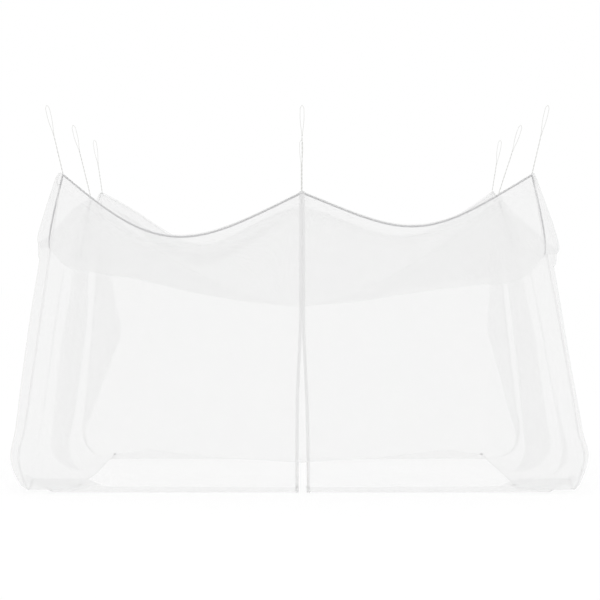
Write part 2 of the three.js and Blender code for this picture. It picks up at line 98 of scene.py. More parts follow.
# The hem's edge on the ground, or on the bunched cloth there: place on the ring in scallops, and x, y and
# height in mm.
HEM = np.array([
    (0, -1277, -890, 12),
    (0.15, -1082, -895, 3),
    (1, 26, -905, 0),
    (1.85, 1084, -895, 3),
    (2, 1271, -890, 12),
    (3, 1285, 0, 0),
    (4, 1240, 885, 45),
    (4.22, 1000, 900, 78),
    (4.55, 600, 860, 34),
    (5, 26, 817, 0),
    (5.45, -600, 860, 34),
    (5.78, -1000, 900, 78),
    (6, -1233, 895, 45),
    (7, -1262, 0, 0),
    (8, -1277, -890, 12),
])
# The cloth that has slumped onto itself at a front corner: half its width in scallops, and how steeply it
# comes in. SLUMP_BEND tells how that changes the bend at the foot at each third of it: metres upwards, and
# the share of the way back towards the wall.
SLUMP, SLUMP_STEEPNESS = 0.3, 2.5
SLUMP_BEND = [(-0.06, -0.15), (0.062, 0.05), (0, 0)]

# How the wall leaves its tape: drop in mm, below zero above the tape, and the shares of its puff, stand,
# folds and swag.
SHOULDER = np.array([
    (0, 0, 0, 0, 0),
    (-12, 0.45, 0.4, 0, 0),
    (4, 0.95, 0.8, 0, 0.2),
    (32, 1, 0.95, 0.1, 0.75),
    (48, 0.8, 1, 0.2, 1),
    (58, 0.45, 1, 0.25, 0),
    (80, 0.12, 1, 0.4, 0.1),
    (150, 0, 1, 1, 0.3),
])

# Small waves of the cloth: how many go round the ring and in each metre down, depth in mm, and phase. They
# come in at RIPPLE_TOP from the tape and are gone at RIPPLE_FOOT from the hem, both over RIPPLE_FADE, in
# metres.
RIPPLES = [
    (23, 0.47, 2.5, 0.3),
    (34, -0.48, 1.6, 2.1),
    (13, 0.4, 3.0, 4.0),
    (50, 0.5, 0.8, 1.2),
]
RIPPLE_TOP, RIPPLE_FOOT, RIPPLE_FADE = 0.2, 0.55, 0.3

# The main upright folds: place on the ring in scallops, how far that moves down to the foot, half the
# width, the depth outwards in mm, and the share of the depth at the top, middle and foot.
FOLDS = [
    (2.74, -0.12, 0.12, -90, 0, 0.3, 1),
    (2.99, 0.01, 0.12, -115, 0.05, 0.5, 1),
    (3.2, 0, 0.12, 50, 0.1, 1, 0.8),
    (3.78, 0, 0.24, -225, 0.45, 1, 0.45),
    (6.22, 0, 0.24, -295, 0.35, 1, 0.27),
    (6.76, 0.02, 0.12, 50, 0.1, 1, 0.8),
    (7.01, -0.01, 0.12, -80, 0.2, 1, 0.8),
    (4.28, 0.03, 0.2, 40, 0, 1, 0.4),
    (5.7, -0.04, 0.18, 40, 0, 1, 0.4),
    (2.87, -0.05, 0.05, 45, 0.5, 1, 0.7),
    (3.1, 0, 0.05, -40, 0.5, 1, 0.7),
    (3.66, 0, 0.05, 60, 0.5, 1, 0.5),
    (6.34, 0, 0.05, 60, 0.5, 1, 0.5),
    (6.88, 0, 0.05, -40, 0.5, 1, 0.7),
    (7.12, 0.02, 0.05, 45, 0.5, 1, 0.7),
]

# The wall panels: the stretch of the ring that each one covers.
PANELS = {
    "front_left": (0, 1),
    "front_right": (1, 2),
    "right": (2, 4),
    "back": (4, 6),
    "left": (6, 8),
}
# The corners, and which panel's edge each corner's seam lies along: at its start, or else at its end.
CORNERS = [
    ("front_left", "front_left", True),
    ("front_right", "front_right", False),
    ("back_right", "back", True),
    ("back_left", "back", False),
]
# x of a panel's edge at the opening where it is shut and where it is parted most, and the height over which
# most of that comes about, in mm. The front parts below PART_HEIGHT.
EDGES = {"front_left": (26, 6, 170), "front_right": (26, 54, 300)}
PART_HEIGHT = 0.86
EDGE_SHARE = 1 / 3  # of a front panel, over which its edge's move fades out

# The sheets as they are cut.
ROOF_CUT = 3.0

WALL_ROWS = 7  # control points from below the wall's shoulder to its foot
FOOT_RISE = 0.165  # where the wall starts to bend inwards, above the ground
BEND_SIDE = 0.18  # how far in from there the cloth reaches the ground, at the left and right
BEND_FRONT = 0.115  # the same at the front and back
CLOTH_REST = 0.0028  # height of cloth that lies on the ground
SHOULDER_LENGTH, SHOULDER_ROWS = 0.25, 60  # the stretch below the tape with closer rows of points
HEM_ROWS, HEM_LIFT = 5, 0.002  # rows of points across the turned hem, and how far it lies off the cloth
HEM_START = 1.2  # of the hem's width, from the wall's edge to the last of its even rows of points
TAPE_THICKNESS = 0.0015
TAPE_GRID = 0.008  # spacing of the points of the tape
SEAM_GAP = 0.0003  # between pieces that are sewn together

# Strips down the edges: where they start below the tape, spacing of their points, thickness, and how far
# they lie from the cloth, outwards, or below zero inwards.
STRIP_START, STRIP_GRID = 0.01, 0.012
WIDTH_POWER, THICKNESS_POWER = 0.2, 0.6  # of the cosine and the sine in a strip's section
BINDING_THICKNESS, BINDING_AWAY = 0.0012, 0.0013
SEAM_THICKNESS, SEAM_AWAY = 0.001, -SEAM_GAP
END_THICKNESS, BINDING_END_AWAY, SEAM_END_AWAY = 0.008, -0.002, -0.0015

# The roof's lowest point, and its rise from there to the tape: the share of the way, and the shares of
# the rise below a cord and in the middle of the scallops of the front, right, back and left.
ROOF_LOW = np.array((0.01, 0.0, 1.05))
ROOF_HALF = 1.4  # from the middle to the edge, for the spacing of its points
ROOF_RISE = np.array([
    (0, 0, 0, 0, 0, 0),
    (0.25, 0.11, 0.09, 0.11, 0.09, 0.12),
    (0.45, 0.28, 0.22, 0.26, 0.22, 0.27),
    (0.62, 0.46, 0.38, 0.38, 0.4, 0.45),
    (0.78, 0.66, 0.57, 0.46, 0.57, 0.6),
    (0.88, 0.81, 0.7, 0.5, 0.7, 0.64),
    (0.95, 0.91, 0.82, 0.68, 0.82, 0.75),
    (1, 1, 1, 1, 1, 1),
])

# Cords: two strands wound about each other from the tape to the knot, and a long narrow loop above it.
# LOOP_ROUTE goes once round that loop: shares of its length, and of half its width.
LOOP_LENGTH, LOOP_WIDTH = 0.172, 0.022
LOOP_ROUTE = np.array([
    (-0.02, -0.06),
    (0.12, -0.25),
    (0.35, -0.75),
    (0.75, -1),
    (0.94, -0.7),
    (1, 0),
    (0.94, 0.7),
    (0.75, 1),
    (0.35, 0.75),
    (0.12, 0.3),
    (0.0, 0.16),
])
CORD_START = 0.0053  # above the middle of the tape
CORD_GRID = 0.0016  # spacing of the points of a cord
WIND_PITCH = 0.05  # the two strands wind about each other once in this length
STRAND_AWAY = 0.48  # of the diameter, from the middle between the strands to each of them
STRAND_JOIN = 0.012  # below the knot, where the strands come together
YARNS, YARN_PITCH, YARN_SWELL = 3, 0.011, 0.1  # each strand is laid from yarns that swell its outline
CORD_CORE = 0.92  # of the radius, as the mean that the yarns swell from
CORD_END = 0.5  # of the radius, at a strand's two ends
KNOT_TURNS, KNOT_HEIGHT, KNOT_POINTS = 2.6, 0.006, 70
KNOT_WIDE, KNOT_DEEP = 0.0024, 0.0018  # radii of the knot's turns, in the loop's plane and across it
KNOT_CORD = 0.36  # of the cord's diameter, as the radius of the knot's turns of cord

# Finishes: how much the net's holes and its cloudiness change its opacity, how opaque the thin strips are,
# how many patches of each unevenness there are in a metre, and the height of ribs and fibres.
HOLE_DEPTH, CLOUD_DEPTH = 0.1, 0.05
BINDING_OPACITY, SEAM_OPACITY = 0.5, 0.3
CLOUD_SCALE, UNEVEN_SCALE, FIBRE_SCALE, FLOOR_SCALE = 5.0, 60.0, 900.0, 3.0
RIB_PITCH, RELIEF = 0.0012, 0.0001
# The tape's own white, on its inner side. Its outer side is painted grey as shade.
TAPE_INSIDE = (0.97, 0.97, 0.97)

# The stage. The camera and the lamps are in the net's own frame.
CAMERA_PLACE = (0, -12.805, GROUND + 1.166)
CAMERA_LENS, CAMERA_SENSOR = 122.3, 36.0
CAMERA_SHIFT_X, CAMERA_SHIFT_Y = 0.0042, -0.0192
NET_BOUNCES = 32  # layers of net that light can pass through
FLOOR_RINGS = np.array((0.0, 3.0, 8.0, 20.0, 60.0, 200.0, 900.0))
FLOOR_SIDES = 96
FLOOR_DROP = 0.0005  # below the ground, so that cloth on the ground lies clear of it
FLOOR_GLOW = (0.7, 0.7, 0.7, 1.0)
LAMP_AIM = np.array((0, 0, -1.0))
# Lamps: name, place, diameter, and power in watts.
LAMPS = [
    ("key", (-5.0, -7.0, 3.5), 5.0, 16.0),
    ("fill", (6.0, -5.0, 2.0), 5.0, 8.0),
    ("top", (0.0, 2.0, 5.0), 6.0, 12.0),
]


# Curves and the ring of stations


def lerp(a, b, share):
    """The value that is a share of the way from a to b."""
    return a + (b - a) * share


def distance_along(path):
    """How far along a path each of its points is."""
    return np.concatenate([[0], np.cumsum(np.linalg.norm(np.diff(path, axis=0), axis=1))])


def through(knots, at):
    """Weights of a smooth curve through uneven knots: cubic pieces whose slope at a knot is the mean of its
    two neighbours'. One row for each place in at, one column for each knot."""
    values = np.eye(len(knots))
    slopes = np.gradient(values, knots, axis=0)
    piece = np.clip(np.searchsorted(knots, at, "right") - 1, 0, len(knots) - 2)
    width = (knots[piece + 1] - knots[piece])[:, None]
    t = (at - knots[piece])[:, None] / width
    return (
        (1 + 2 * t) * (1 - t) ** 2 * values[piece]
        + t * (1 - t) ** 2 * width * slopes[piece]
        + t**2 * (3 - 2 * t) * values[piece + 1]
        - t**2 * (1 - t) * width * slopes[piece + 1]
    )


def scallop_at(place):
    """The scallop that holds a place on the ring, the station after it, and the share of the way."""
    turned = np.mod(place, COUNT)
    index = np.minimum(turned.astype(int), COUNT - 1)
    return index, (index + 1) % COUNT, turned - index


def along(place, column=None, extra=None, skew=np.ones(COUNT)):
    """A value that stations hold, on straight lines between them, and that scallops add to in their middle
    as half a sine wave, which the skew moves along the scallop."""
    index, after, share = scallop_at(place)
    value = lerp(STATION[column][index], STATION[column][after], share) if column else 0 * share
    return value + (SCALLOP[extra][index] * np.sin(np.pi * share ** skew[index]) if extra else 0)


def side_ways():
    """Outwards from each scallop's side of the net, as x and y: along X for left and right, and along Y for
    front and back."""
    x, y = STATION["x"], STATION["y"]
    next_x, next_y = np.roll(x, -1), np.roll(y, -1)
    crosswise = np.abs(next_x - x) > np.abs(next_y - y)
    return np.where(crosswise, 0, np.sign(x + next_x)), np.where(crosswise, np.sign(y + next_y), 0)


SIDE_X, SIDE_Y = side_ways()


def between(place, column_x, column_y, extra):
    """A point in plan between two stations, pushed outwards in the middle of the scallop."""
    index = scallop_at(place)[0]
    push = along(place, None, extra)
    x = along(place, column_x) + push * SIDE_X[index]
    y = along(place, column_y) + push * SIDE_Y[index]
    return np.stack([x, y, 0 * x], axis=-1)


def tape_line(place):
    """Middle of the tape: a straight line between stations, less a sag that is three sine waves through the
    three measured sags of the scallop."""
    index, _, share = scallop_at(place)
    quarter, middle, last = (SCALLOP[name][index] for name in ("quarter", "middle", "three_quarter"))
    ends = (quarter + last) / math.sqrt(2)
    sag = (
        (ends + middle) / 2 * np.sin(np.pi * share)
        + (quarter - last) / 2 * np.sin(TAU * share)
        + (ends - middle) / 2 * np.sin(3 * np.pi * share)
    )
    line = between(place, "x", "y", "tape_out")
    line[..., 2] = along(place, "z") - sag
    return line


def unit(vectors):
    """The vectors at length one."""
    return vectors / np.maximum(np.linalg.norm(vectors, axis=-1, keepdims=True), 1e-12)


def outward(place):
    """Outwards from the tape in plan, longer at a corner so that an offset piece stays parallel to both
    sides of it."""
    near = 1e-3
    here = tape_line(place)
    turns = []
    for step in (-near, near):
        way = (tape_line(place + step) - here) * np.sign(step)
        turns.append(unit(np.stack([way[..., 1], -way[..., 0], 0 * way[..., 0]], axis=-1)))
    both = turns[0] + turns[1]
    return both / (1 + (turns[0] * turns[1]).sum(axis=-1, keepdims=True))


# Walls


def fold_depth(place, share):
    """Depth of the main folds: each is a squared cosine across, and its strength goes on straight lines
    through its shares at the top, middle and foot."""
    depth = 0 * place
    for at, lean, half, deep, top, middle, foot in FOLDS:
        away = np.abs(np.mod(place - at - lean * share + COUNT / 2, COUNT) - COUNT / 2) / half
        strength = np.interp(share, (0, 0.5, 1), (top, middle, foot))
        depth = depth + deep * MM * strength * np.cos(np.pi / 2 * np.minimum(away, 1)) ** 2
    return depth


def opening_shift(place, panel, height):
    """Sideways move of the cloth near the opening. Below the height where the front parts, it nears its
    full size as an exponential, and across the panel it fades out as a square."""
    if panel not in EDGES:
        return 0
    closed, opened, reach = np.array(EDGES[panel]) * MM
    parted = 1 - np.exp(-np.maximum(PART_HEIGHT - height, 0) / reach)
    edge = lerp(closed, opened, parted) - STATION["x"][OPENING]
    return edge * np.clip(1 - np.abs(place - OPENING) / EDGE_SHARE, 0, 1) ** 2


def contact_line(place, foot):
    """Where the bend reaches the ground: in from the foot, by insets on straight lines between stations."""
    side = np.array([name.startswith(("left", "right")) for name in STATION_ROWS])
    corner = np.array(["middle" not in name for name in STATION_ROWS])
    inset_x = -np.sign(STATION["x"]) * BEND_SIDE * (side | corner)
    inset_y = -np.sign(STATION["y"]) * BEND_FRONT * (~side | corner)
    index, after, share = scallop_at(place)
    moved = np.stack([lerp(i[index], i[after], share) for i in (inset_x, inset_y)] + [0 * share], axis=-1)
    return foot + moved


def slump_at(place):
    """1 where the cloth has slumped onto itself at the two front corners, and 0 elsewhere, with a smooth
    step between."""
    away = np.minimum(np.abs(place - np.round(place / COUNT) * COUNT), np.abs(place - FRONT_RIGHT))
    near = np.clip((SLUMP - away) / SLUMP * SLUMP_STEEPNESS, 0, 1)
    return near * near * (3 - 2 * near)


def wall_rows(place, panel):
    """Control points of a wall, from the tape to the hem: a puffed shoulder, the hanging wall with its main
    folds, a quarter of an ellipse at the foot, and the flap that lies inwards on the ground."""
    out, tape = outward(place), tape_line(place)
    foot = between(place, "foot_x", "foot_y", "foot_out")
    puff, stand = along(place, "puff", "puff_out"), along(place, "stand", "stand_out")
    swag = along(place, None, "swag", SWAG_SKEW) / MM
    fall = tape[:, 2] - FOOT_RISE
    rows = [tape + out * (TAPE_THICKNESS / 2 + SEAM_GAP)]

    def hang(drop, row):
        """The wall at a drop below the tape, with a row's shares of puff, stand and folds."""
        _, puffed, standing, folded, _ = row
        share = np.clip(drop / fall, 0, 1)
        away = puff * puffed + stand * standing * (1 - share) + fold_depth(place, share) * folded
        point = lerp(tape, foot, share[:, None]) + out * away[:, None]
        point[:, 2] = tape[:, 2] - drop
        return point

    for row in SHOULDER[1:]:
        rows.append(hang((row[0] + row[4] * swag) * MM, row))
    last = SHOULDER[-1]
    for way in np.arange(1, WALL_ROWS + 1) / WALL_ROWS:
        rows.append(hang(lerp(last[0] * MM, fall, way) + last[4] * (1 - way) * swag * MM, last))

    bulge = rows[-1]
    contact = contact_line(place, foot) + out * (fold_depth(place, 0 * place + 1) / 2)[:, None]
    slump = slump_at(place)
    for third, (up, back) in enumerate(SLUMP_BEND, 1):
        angle = np.pi / 2 * third / len(SLUMP_BEND)
        point = lerp(contact, bulge, (math.cos(angle) + back * slump)[:, None])
        point[:, 2] = lerp(FOOT_RISE, CLOTH_REST, math.sin(angle)) + up * slump
        rows.append(point)
    hem = np.stack([np.interp(place, HEM[:, 0], HEM[:, column]) for column in (1, 2, 3)], axis=-1) * MM
    for share in (0.5, 1):
        point = lerp(contact, hem, share)
        point[:, 2] = CLOTH_REST + hem[:, 2] * share**2
        rows.append(point)
    grid = np.stack(rows, axis=1)
    grid[..., 0] += opening_shift(place[:, None], panel, grid[..., 2])
    return grid


def ripple(place, down):
    """Small unevenness of the hanging cloth: the sum of a few long sine waves that cross at a slant."""
    height = 0
    for round_ring, each_metre, deep, phase in RIPPLES:
        turns = round_ring * place / COUNT + each_metre * down
        height = height + deep * MM * np.sin(TAU * turns + phase)
    return height


def wall_surface(place, panel, spacing, hem=0.0):
    """A wall on a fine grid: a smooth curve through the control points of each upright line, with small
    waves between the shoulder and the foot, and its edge folded over where hem is its width. Returns the
    points and how far down the cloth each row is."""
    first, last = PANELS[panel]
    typical = wall_rows(np.linspace(first + 1e-6, last - 1e-6, 41), panel)
    steps = np.linalg.norm(np.diff(typical, axis=1), axis=2).mean(axis=0)
    knots = np.concatenate([[0], np.cumsum(steps)])
    length = knots[-1]
    turned = length - hem * np.linspace(1, 0, HEM_ROWS)
    above = np.linspace(0, length - HEM_START * hem, int(length / spacing) + 1)
    closer = np.linspace(0, SHOULDER_LENGTH, SHOULDER_ROWS)
    at = np.unique(np.concatenate([above, turned, closer]).round(5))
    points = np.einsum("fr,nrc->nfc", through(knots, at), wall_rows(place, panel))
    free = np.clip((at - RIPPLE_TOP) / RIPPLE_FADE, 0, 1)
    free *= np.clip((length - RIPPLE_FOOT - at) / RIPPLE_FADE, 0, 1)
    points += outward(place)[:, None] * (ripple(place[:, None], at) * free)[..., None]
    points[..., 2] = np.maximum(points[..., 2], CLOTH_REST)
    if hem:
        folded = points[:, -HEM_ROWS:] + (0, 0, HEM_LIFT)
        points = np.concatenate([points, folded[:, ::-1]], axis=1)
        at = np.concatenate([at, 2 * length - turned[::-1]])
    return points, at


# Meshes


def new_object(name, points, faces, materials, uv=None, slots=None):
    """A mesh at the origin from arrays: corners of the faces, texture places and material of each face."""
    mesh = bpy.data.meshes.new(name)
    faces = np.asarray(faces, dtype=np.int32)
    mesh.vertices.add(len(points))
    mesh.vertices.foreach_set("co", np.asarray(points, dtype=np.float32).ravel())
    mesh.loops.add(faces.size)
    mesh.loops.foreach_set("vertex_index", faces.ravel())
    mesh.polygons.add(len(faces))
    mesh.polygons.foreach_set("loop_start", np.arange(0, faces.size, faces.shape[1], dtype=np.int32))
    mesh.polygons.foreach_set("use_smooth", np.ones(len(faces), dtype=bool))
    for material in materials:
        mesh.materials.append(material)
    if slots is not None:
        mesh.polygons.foreach_set("material_index", np.asarray(slots, dtype=np.int32))
    if uv is not None:
        layer = mesh.uv_layers.new(name="cloth")
        layer.data.foreach_set("uv", np.asarray(uv, dtype=np.float32)[faces.ravel()].ravel())
    mesh.update(calc_edges=True)
    mesh.validate()
    made = bpy.data.objects.new(name, mesh)
    bpy.context.scene.collection.objects.link(made)
    return made


def grid_faces(across, down):
    """Corners of the quads of a grid of across by down points, the second index running fastest."""
    corner = np.arange((across - 1) * down).reshape(across - 1, down)[:, :-1]
    quads = np.stack([corner, corner + 1, corner + down + 1, corner + down], axis=-1)
    return quads.reshape(-1, 4)


def cloth_sheet(name, points, uv, material):
    """An open sheet from a grid of points in metres above the ground."""
    across, down = points.shape[:2]
    points = points + (0, 0, GROUND)
    return new_object(name, points.reshape(-1, 3), grid_faces(across, down), [material], uv.reshape(-1, 2))


def fix_normals(made):
    """Turns the faces of a closed mesh outwards when its signed volume is below zero."""
    mesh = made.data
    mesh.calc_loop_triangles()
    corners = np.empty(len(mesh.loop_triangles) * 3, dtype=np.int32)
    mesh.loop_triangles.foreach_get("vertices", corners)
    places = np.empty(len(mesh.vertices) * 3, dtype=np.float32)
    mesh.vertices.foreach_get("co", places)
    a, b, c = places.reshape(-1, 3)[corners.reshape(-1, 3)].transpose(1, 0, 2).astype(float)
    if (a * np.cross(b, c)).sum() < 0:
        mesh.flip_normals()


def closed_tube(name, points, length, width, materials, second=None):
    """A tube with closed ends from a grid of points, each row of which is one ring. length and width are
    the places of the rings, and of the points round a ring, on the cloth. The second material is on the
    strips round the ring where second is true."""
    count, around = points.shape[:2]
    ring = np.arange(around)
    after = (ring + 1) % around
    start = np.arange(count - 1)[:, None] * around
    corners = [start + ring, start + after, start + around + after, start + around + ring]
    half = np.arange(around // 2 - 1)
    cap = np.stack([half, half + 1, around - 2 - half, around - 1 - half], axis=-1)
    quads = np.stack(corners, axis=-1).reshape(-1, 4)
    faces = np.concatenate([quads, cap[:, ::-1], cap + (count - 1) * around])
    slots = None
    if second is not None:
        slots = np.concatenate([np.tile(second, count - 1), np.zeros(2 * len(cap), bool)])
    uv = np.stack(np.broadcast_arrays(length[:, None], width[None, :]), axis=-1)
    made = new_object(name, points.reshape(-1, 3), faces, materials, uv.reshape(-1, 2), slots)
    fix_normals(made)
    return made


def ribbon(name, middle, across, out, width, thickness, materials, sides=12):
    """A closed flat strip along a line in metres above the ground. Its section is a circle whose cosine and
    sine are raised to small powers, which makes it nearly a rectangle. It is carried along the middle line
    with its width along across and its thickness along out. The second material, where there is one, is on
    the side away from out."""
    angle = TAU * (np.arange(sides) + 0.5) / sides
    flat, deep = np.cos(angle), np.sin(angle)
    section_x = (np.sign(flat) * np.abs(flat) ** WIDTH_POWER) * width / 2
    section_y = (np.sign(deep) * np.abs(deep) ** THICKNESS_POWER) * thickness / 2
    points = (
        middle[:, None]
        + across[:, None] * section_x[None, :, None]
        + out[:, None] * section_y[None, :, None]
        + (0, 0, GROUND)
    )
    second = np.sin(TAU * (np.arange(sides) + 1) / sides) < 0 if len(materials) > 1 else None
    return closed_tube(name, points, distance_along(middle), section_x, materials, second)


def laid_cord(name, path, radius, normal, material, sides=12):
    """A laid cord along a path: a circle whose radius swells and shrinks once for each yarn as it turns
    along the path. The turn is measured from the normal, a direction that the path never runs along."""
    way = unit(np.gradient(path, axis=0))
    flat = unit(normal - way * (way * normal).sum(axis=1, keepdims=True))
    side = np.cross(way, flat)
    length = distance_along(path)
    angle = TAU * np.arange(sides) / sides
    turned = angle[None, :] - TAU * length[:, None] / (YARNS * YARN_PITCH)
    reach = radius * CORD_CORE * (1 + YARN_SWELL * np.cos(YARNS * turned))
    reach[[0, -1]] *= CORD_END
    points = (
        path[:, None]
        + flat[:, None] * (np.cos(angle)[None, :, None] * reach[..., None])
        + side[:, None] * (np.sin(angle)[None, :, None] * reach[..., None])
    )
    return closed_tube(name, points, length, radius * angle, [material])


# Materials


class Value:
    """Wraps a node's output, so that maths on it is written as an expression."""

    def __init__(self, finish, socket):
        self.finish, self.socket = finish, socket

    def maths(self, operation, *others):
        """A Math node with this value first."""
        inputs = dict(enumerate([self, *others]))
        return self.finish.add("ShaderNodeMath", {"operation": operation}, inputs)

    def reflected(self, operation, number):
        """A Math node with a number first."""
        return self.finish.add("ShaderNodeMath", {"operation": operation}, {0: number, 1: self})

    def __add__(self, other):
        return self.maths("ADD", other)

    def __mul__(self, other):
        return self.maths("MULTIPLY", other)

    def __sub__(self, other):
        return self.maths("SUBTRACT", other)

    def __rsub__(self, number):
        return self.reflected("SUBTRACT", number)

    def __pow__(self, other):
        return self.maths("POWER", other)

    def __rpow__(self, number):
        return self.reflected("POWER", number)

    __radd__, __rmul__ = __add__, __mul__


class Finish:
    """A material made of nodes."""

    def __init__(self, name):
        self.material = bpy.data.materials.new(name)
        self.material.use_nodes = True
        self.tree = self.material.node_tree
        self.tree.nodes.clear()

    def add(self, kind, settings, inputs, output=0):
        """Adds a node: its settings are set first, then the values or links of its sockets."""
        node = self.tree.nodes.new(kind)
        for name, setting in settings.items():
            setattr(node, name, setting)
        for name, value in inputs.items():
            if isinstance(value, Value):
                self.tree.links.new(value.socket, node.inputs[name])
            else:
                node.inputs[name].default_value = value
        return Value(self, node.outputs[output])

    def cloth_places(self):
        """Places on the cloth in metres: as a vector, then its two parts, which go along and across a
        strip, or across and down a sheet."""
        places = self.add("ShaderNodeUVMap", {"uv_map": "cloth"}, {})
        parts = self.add("ShaderNodeSeparateXYZ", {}, {"Vector": places})
        return places, parts, Value(self, parts.socket.node.outputs[1])

    def noise(self, places, scale, detail=3.0):
        return self.add("ShaderNodeTexNoise", {}, {"Vector": places, "Scale": scale, "Detail": detail})

    def mix(self, share, first, second):
        """A colour between two colours. A Mix node's sockets for colours come after its others, which have
        the same names, so they go by number."""
        inputs = {0: share, 6: first, 7: second}
        return self.add("ShaderNodeMix", {"data_type": "RGBA"}, inputs, output=2)

    def bump(self, height, distance, strength):
        inputs = {"Height": height, "Distance": distance, "Strength": strength}
        return self.add("ShaderNodeBump", {}, inputs)

    def made_with(self, **sockets):
        """Puts a Principled shader with these sockets on the material, and returns the material."""
        named = {}
        for name, value in sockets.items():
            named[name.replace("_", " ").title().replace("Ior", "IOR")] = value
        shader = self.add("ShaderNodeBsdfPrincipled", {}, named)
        out = self.tree.nodes.new("ShaderNodeOutputMaterial")
        self.tree.links.new(shader.socket, out.inputs["Surface"])
        return self.material


def thread(place, pitch, sharpness):
    """1 on the middle line of each thread and 0 between threads: a raised cosine along one direction, to
    the power of its sharpness."""
    wave = (place * (TAU / pitch)).maths("COSINE") * 0.5 + 0.5
    return wave**sharpness


def colour(base, share=1.0):
    """A shader's colour: a base colour, lighter or darker by a share."""
    return (*[part * share for part in base], 1.0)


def net_finish(name, settings):
    """Fine white knitted net: rows of round holes, which three waves at sixty degrees to each other make,
    between soft threads, and cloth that is a little denser here and there."""
    finish = Finish(name)
    places, across, down = finish.cloth_places()
    half, slant = across * -0.5, down * (math.sqrt(3) / 2)
    holes = 0
    for way in (across, half + slant, half - slant):
        holes = (way * (TAU / settings.mesh_pitch)).maths("COSINE") + holes
    cloudy = finish.noise(places, CLOUD_SCALE)
    alpha = (holes * -HOLE_DEPTH + settings.net_opacity) + (cloudy - 0.5) * CLOUD_DEPTH
    tone = finish.mix(cloudy, colour(settings.net_colour), colour(settings.net_colour, 0.98))
    return finish.made_with(base_color=tone, roughness=0.9, alpha=alpha, specular_ior_level=0.05)


def woven_finish(name, base, opacity=1.0):
    """Narrow woven cloth: ribs across it, threads along it, uneven colour, painted shade between threads.
    """
    finish = Finish(name)
    places, along_it, across_it = finish.cloth_places()
    ribs = thread(along_it, RIB_PITCH, 1.5) * 0.7 + thread(across_it, RIB_PITCH * 0.8, 1.0) * 0.3
    uneven = finish.noise(places, UNEVEN_SCALE)
    # The colour is a little uneven at random, and also has painted light and shade: lighter on the middle
    # of each raised thread, darker between threads.
    tone = finish.mix(uneven * 0.6 + ribs * 0.4, colour(base, 0.86), colour(base, 1.06))
    return finish.made_with(
        base_color=tone,
        roughness=0.85,
        alpha=opacity,
        specular_ior_level=0.2,
        normal=finish.bump(ribs, RELIEF, 0.6),
    )


def cord_finish(name, base):
    """Cotton cord: a fine fuzz of fibres, with painted shade between them."""
    finish = Finish(name)
    places, _, _ = finish.cloth_places()
    fibres = finish.noise(places, FIBRE_SCALE)
    # Painted light and shade on the fibres: lighter where the noise that raises them is high, darker in the
    # hollows between them.
    tone = finish.mix(fibres, colour(base, 0.85), colour(base, 1.05))
    return finish.made_with(
        base_color=tone,
        roughness=0.85,
        specular_ior_level=0.2,
        normal=finish.bump(fibres, RELIEF, 0.5),
    )


# Settings


class NetSettings(PropertyGroup):
    net_opacity: FloatProperty(
        name="Net opacity", description="How much one layer of net hides", default=0.37, min=0, max=1,
        subtype="FACTOR",
    )
    net_colour: FloatVectorProperty(
        name="Net colour", description="Colour of the net's threads", size=3, default=(0.88, 0.88, 0.88),
        subtype="COLOR",
    )
    mesh_pitch: FloatProperty(
        name="Mesh pitch", description="Distance between the net's rows of holes", default=0.0016,
        unit="LENGTH",
    )
    # The tape's outer side is painted grey as shade. The tape itself is white, as on its inner side.
    tape_shade_colour: FloatVectorProperty(
        name="Tape colour", description="Colour of the tape's outer side", size=3,
        default=(0.38, 0.38, 0.39), subtype="COLOR",
    )
    tape_width: FloatProperty(
        name="Tape width", description="Width of the top tape", default=0.013, unit="LENGTH",
    )
    tape_tilt: FloatProperty(
        name="Tape tilt", description="How far the tape's top edge leans outwards",
        default=math.radians(30), subtype="ANGLE",
    )
    binding_colour: FloatVectorProperty(
        name="Binding colour", description="Colour of the bound edges and the corner seams", size=3,
        default=(0.88, 0.88, 0.88), subtype="COLOR",
    )
    binding_width: FloatProperty(
        name="Binding width", description="Width of the binding on each edge of the opening",
        default=0.018, unit="LENGTH",
    )
    cord_colour: FloatVectorProperty(
        name="Cord colour", description="Colour of the hanging cords", size=3, default=(0.76, 0.76, 0.74),
        subtype="COLOR",
    )
    cord_diameter: FloatProperty(
        name="Cord diameter", description="Diameter of each strand of the hanging cords", default=0.003,
        unit="LENGTH",
    )
    hem_width: FloatProperty(
        name="Hem width", description="Width of the turned hem of the walls", default=0.014,
        unit="LENGTH",
    )
    seam_width: FloatProperty(
        name="Seam width", description="Width of the seams at the corners", default=0.013, unit="LENGTH",
    )
    end_length: FloatProperty(
        name="End length", description="Length of the folded ends of seams and bindings", default=0.02,
        unit="LENGTH",
    )
    # The ends are dark grey, far darker than the white binding and seams that they end.
    end_colour: FloatVectorProperty(
        name="End colour", description="Colour of the folded ends of seams and bindings", size=3,
        default=(0.25, 0.25, 0.25), subtype="COLOR",
    )
    cloth_grid: FloatProperty(
        name="Cloth grid", description="Spacing of the points of the cloth", default=0.012,
        unit="LENGTH",
    )
    floor_colour: FloatVectorProperty(
        name="Floor colour", description="Colour of the floor", size=3, default=(0.3, 0.3, 0.3),
        subtype="COLOR",
    )
    light: FloatProperty(
        name="Light", description="Strength of the light from all round", default=1.0, min=0,
    )


# Operators


